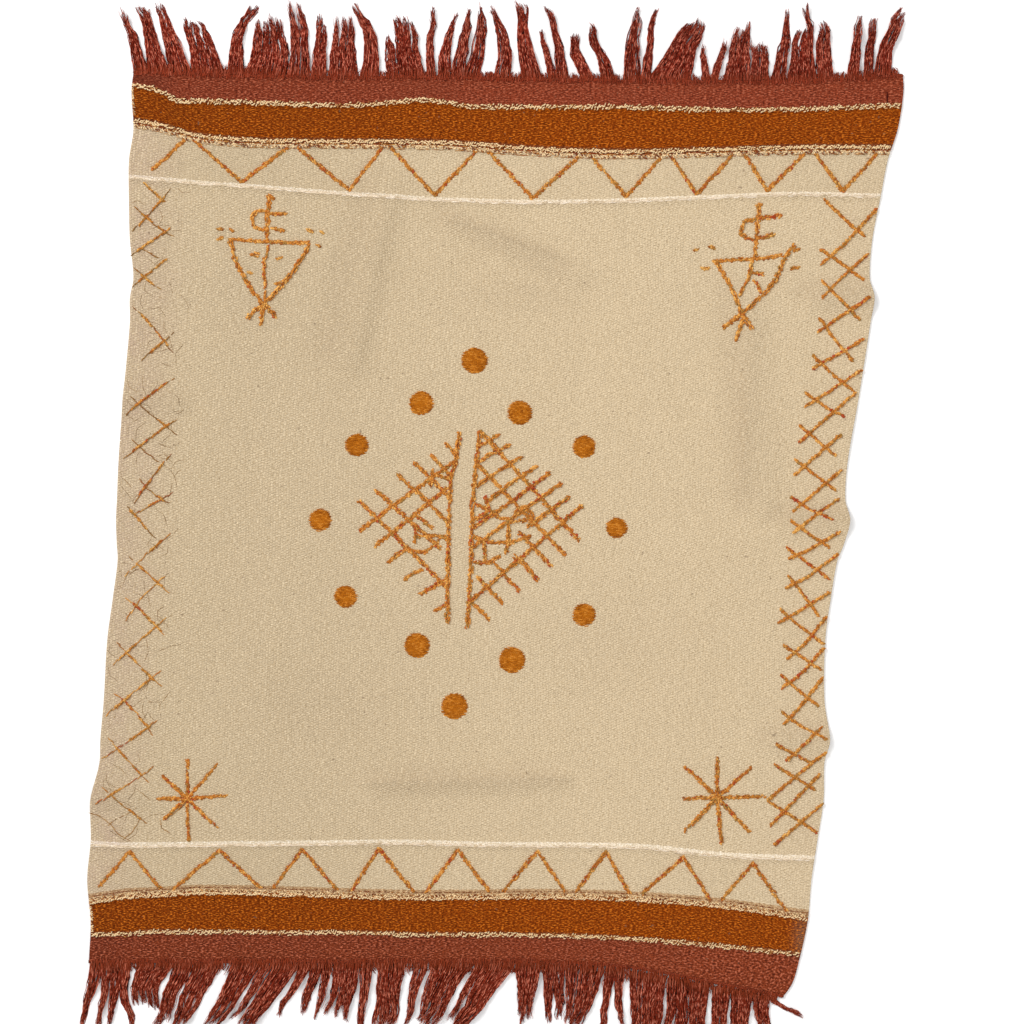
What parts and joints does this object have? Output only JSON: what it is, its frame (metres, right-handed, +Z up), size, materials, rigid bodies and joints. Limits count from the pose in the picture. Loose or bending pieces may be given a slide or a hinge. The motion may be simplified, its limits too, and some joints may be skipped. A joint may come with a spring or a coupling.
{
  "type": "handwoven wall rug",
  "caption": "Small handwoven wool flatweave rug with banded ends, raised twined rows, an embroidered field and a knotted fringe at both hems, lying flat.",
  "frame": {"origin": "on the floor, under the middle of the box of the whole rug", "axes": "+X across the rug, +Y towards its top hem, +Z up, the way its face looks"},
  "size_m": [0.9484, 1.2058, 0.0088],
  "materials": {
    "wool_cloth": "matte weft-faced wool weave, cream with rust and maroon bands",
    "wool_fringe": "matte loose wool, maroon"
  },
  "bodies": {
    "root": {"rug_cloth": "wool_cloth", "fringe_top": "wool_fringe", "fringe_bottom": "wool_fringe"}
  },
  "joints": []
}
